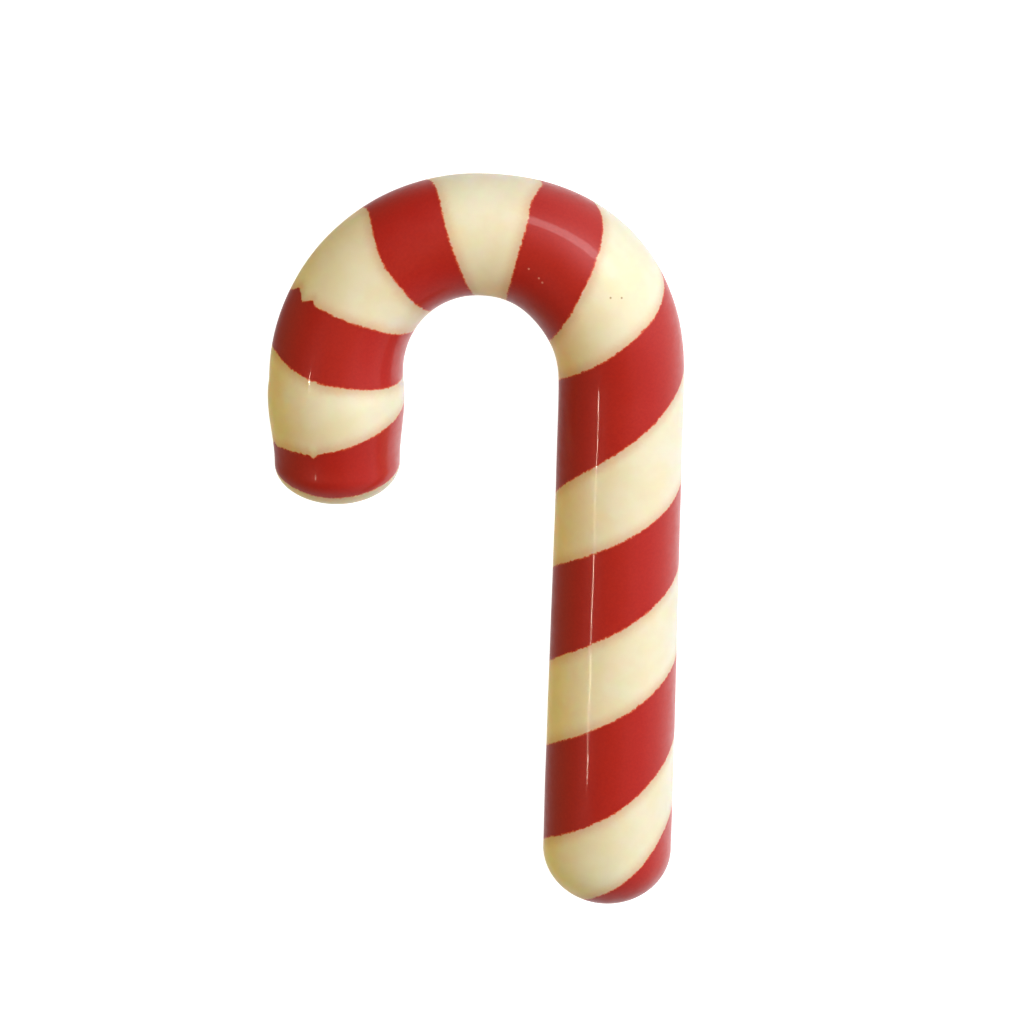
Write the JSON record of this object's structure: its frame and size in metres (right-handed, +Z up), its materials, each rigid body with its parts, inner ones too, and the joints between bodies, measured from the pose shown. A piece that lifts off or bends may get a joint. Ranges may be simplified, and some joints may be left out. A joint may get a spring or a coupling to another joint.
{
  "type": "candy cane",
  "caption": "Moulded white chocolate candy cane with a red spiral stripe, lying on its side: a round rod with a crook and a blunt hook end.",
  "frame": {"origin": "middle of the footprint, on the surface that the cane lies on", "axes": "+Y along the shaft towards the top of the crook, +X from the hook towards the shaft, +Z up from the surface, out of the side that shows"},
  "size_m": [0.0316, 0.0578, 0.0102],
  "materials": {
    "striped_chocolate": "gloss"
  },
  "bodies": {
    "root": {"cane": "striped_chocolate"}
  },
  "joints": []
}
